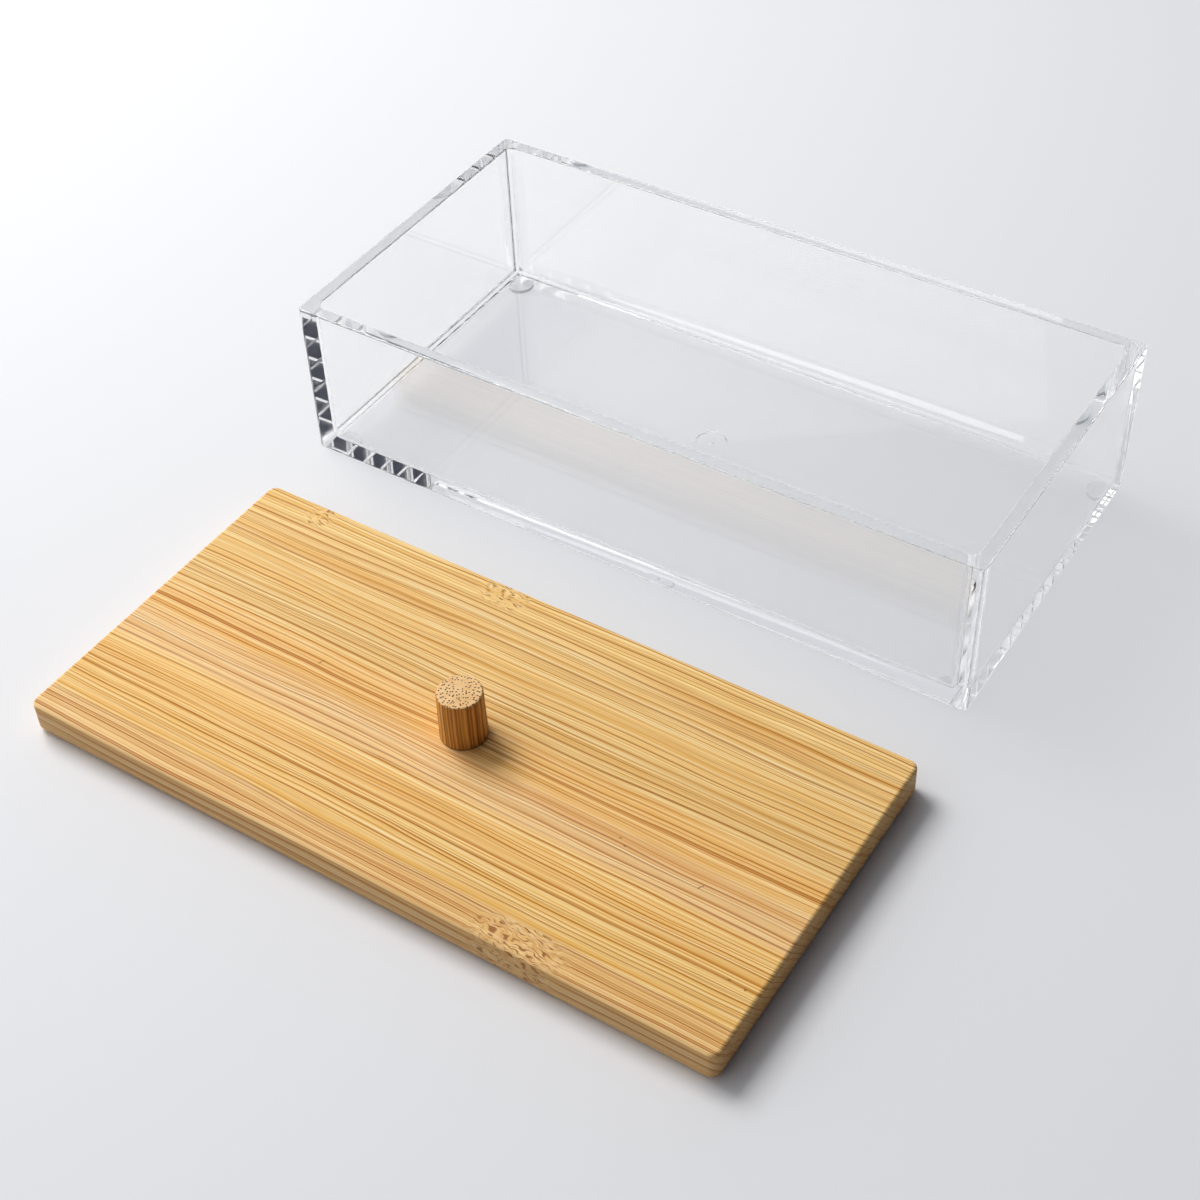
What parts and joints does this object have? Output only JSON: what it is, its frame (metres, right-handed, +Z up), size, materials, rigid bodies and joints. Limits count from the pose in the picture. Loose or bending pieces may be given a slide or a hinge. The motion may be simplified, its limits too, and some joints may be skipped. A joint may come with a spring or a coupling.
{
  "type": "acrylic storage box with lid",
  "caption": "Long, low, clear storage box, open at the top, on clear bumper feet, with a glued bamboo lid that has a locating step underneath and a round turned knob.",
  "frame": {"origin": "on the table, under the centre of the box: the middle of its four feet, at the height of their lower faces", "axes": "+Z up, +X along the box's long side to the right as seen from the front, +Y to the back of the box; the lid lies in front, towards -Y"},
  "size_m": [0.2404, 0.2624, 0.059],
  "materials": {
    "clear_acrylic": "polished",
    "clear_foot": "gloss",
    "bamboo_board": "satin",
    "bamboo_knob": "satin",
    "screw_steel": "satin"
  },
  "bodies": {
    "box": {"tray": "clear_acrylic", "foot_front_left": "clear_foot", "foot_front_right": "clear_foot", "foot_back_left": "clear_foot", "foot_back_right": "clear_foot"},
    "lid": {"lid_strip_1": "bamboo_board", "lid_strip_2": "bamboo_board", "lid_strip_3": "bamboo_board", "lid_strip_4": "bamboo_board", "lid_strip_5": "bamboo_board", "lid_strip_6": "bamboo_board", "lid_strip_7": "bamboo_board", "lid_strip_8": "bamboo_board", "lid_strip_9": "bamboo_board", "knob": "bamboo_knob", "knob_screw": "screw_steel"}
  },
  "joints": [
    {"name": "lid_lift", "type": "slide", "parent": "box", "child": "lid", "axis": [0, 0, 1], "range_m": [0, 0.12]}
  ]
}
